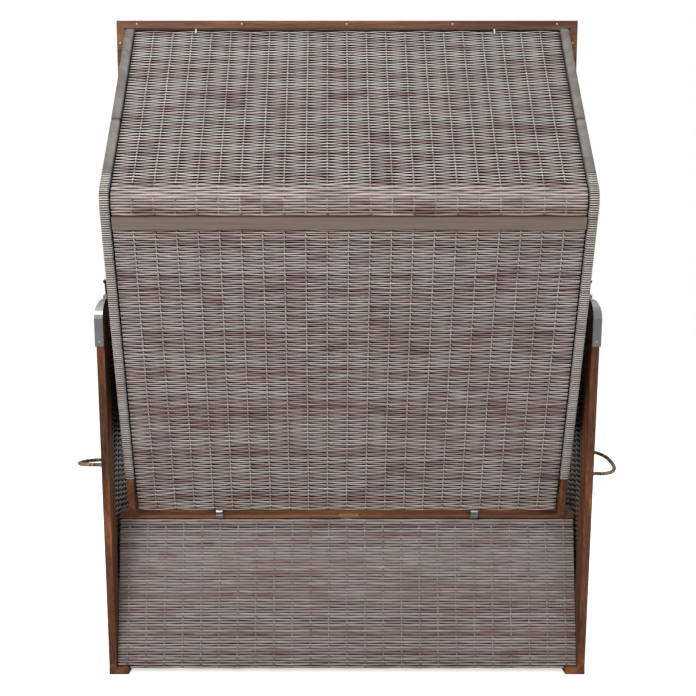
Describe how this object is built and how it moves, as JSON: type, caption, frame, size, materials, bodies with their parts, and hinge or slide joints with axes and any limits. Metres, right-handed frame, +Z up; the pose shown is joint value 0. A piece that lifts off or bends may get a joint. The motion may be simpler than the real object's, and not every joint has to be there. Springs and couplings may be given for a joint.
{
  "type": "hooded beach chair",
  "caption": "Hooded beach chair for two: woven hood that reclines on a mahogany base, with footrests, side tables, handles and an awning.",
  "frame": {"origin": "on the ground, under the middle of the chair's overall box", "axes": "+X towards the sitter's left, +Y towards the back, +Z up"},
  "size_m": [1.35, 0.9184, 1.6255],
  "materials": {
    "mahogany": "oiled",
    "wicker": "satin",
    "cover_strip": "satin",
    "zinc": "zinc plated",
    "brass": "brushed",
    "rope": "wrapped",
    "fabric": "woven",
    "awning_cloth": "woven"
  },
  "bodies": {
    "base": {"rear_post_left": "mahogany", "rear_post_right": "mahogany", "top_rail_left": "mahogany", "top_rail_right": "mahogany", "front_post_left": "mahogany", "front_post_right": "mahogany", "skid_left": "mahogany", "skid_right": "mahogany", "side_panel_left": "wicker", "side_panel_right": "wicker", "base_back_panel": "wicker", "back_rail": "mahogany", "slatted_seat": "mahogany", "inner_frame": "mahogany", "rail_plate": "brass", "footrest_runner_left": "mahogany", "footrest_runner_right": "mahogany", "armrest_left": "mahogany", "armrest_right": "mahogany", "rail_hinge_left": "zinc", "rail_hinge_right": "zinc", "post_cap_left": "zinc", "post_cap_right": "zinc", "handle_plate_left": "zinc", "handle_plate_right": "zinc", "seat_cushion_left": "fabric", "seat_cushion_right": "fabric"},
    "hood": {"hood_stile_left": "mahogany", "hood_stile_right": "mahogany", "hood_rim_left": "wicker", "hood_rim_right": "wicker", "hood_side_panel_left": "wicker", "hood_side_panel_right": "wicker", "hood_side_rail_left": "mahogany", "hood_side_rail_right": "mahogany", "front_frame": "mahogany", "hood_back_panel": "wicker", "hood_roof_panel": "wicker", "cover_strip": "cover_strip", "hood_batten_bottom": "mahogany", "hood_batten_middle": "mahogany", "hood_batten_knee": "mahogany", "hood_hinge_left": "zinc", "hood_hinge_right": "zinc", "recline_bar_left": "zinc", "recline_bar_right": "zinc", "back_cushion_left": "fabric", "back_cushion_right": "fabric"},
    "awning": {"awning_bow": "mahogany", "awning_cloth": "awning_cloth"},
    "footrest_left": {"footrest_left": "mahogany", "foot_cushion_left": "fabric"},
    "table_left": {"side_table_left": "mahogany"},
    "lever_left": {"latch_lever_left": "zinc"},
    "handle_left": {"rope_handle_left": "rope"},
    "footrest_right": {"footrest_right": "mahogany", "foot_cushion_right": "fabric"},
    "table_right": {"side_table_right": "mahogany"},
    "lever_right": {"latch_lever_right": "zinc"},
    "handle_right": {"rope_handle_right": "rope"}
  },
  "joints": [
    {"name": "hood_recline", "type": "hinge", "parent": "base", "child": "hood", "pos_m": [0, 0.10727, 0.388], "axis": [-1, 0, 0], "range_deg": [0, 16]},
    {"name": "awning_swing", "type": "hinge", "parent": "hood", "child": "awning", "pos_m": [0, 0.12482, 1.55867], "axis": [1, 0, 0], "range_deg": [-10, 80]},
    {"name": "footrest_slide_left", "type": "slide", "parent": "base", "child": "footrest_left", "axis": [0, -1, 0], "range_m": [0, 0.36]},
    {"name": "table_fold_left", "type": "hinge", "parent": "base", "child": "table_left", "pos_m": [0.5933, -0.27723, 0.606], "axis": [0, -1, 0], "range_deg": [0, 90]},
    {"name": "lever_lift_left", "type": "hinge", "parent": "base", "child": "lever_left", "pos_m": [0.577, 0.23479, 0.9408], "axis": [0, 1, 0], "range_deg": [0, 14]},
    {"name": "handle_swing_left", "type": "hinge", "parent": "base", "child": "handle_left", "pos_m": [0.5998, 0.08677, 0.519], "axis": [0, 0.9967, 0.0811], "range_deg": [-80, 80]},
    {"name": "footrest_slide_right", "type": "slide", "parent": "base", "child": "footrest_right", "axis": [0, -1, 0], "range_m": [0, 0.36]},
    {"name": "table_fold_right", "type": "hinge", "parent": "base", "child": "table_right", "pos_m": [-0.5933, -0.27723, 0.606], "axis": [0, 1, 0], "range_deg": [0, 90]},
    {"name": "lever_lift_right", "type": "hinge", "parent": "base", "child": "lever_right", "pos_m": [-0.577, 0.23479, 0.9408], "axis": [0, -1, 0], "range_deg": [0, 14]},
    {"name": "handle_swing_right", "type": "hinge", "parent": "base", "child": "handle_right", "pos_m": [-0.5998, 0.08677, 0.519], "axis": [0, -0.9851, 0.1718], "range_deg": [-80, 80]}
  ]
}
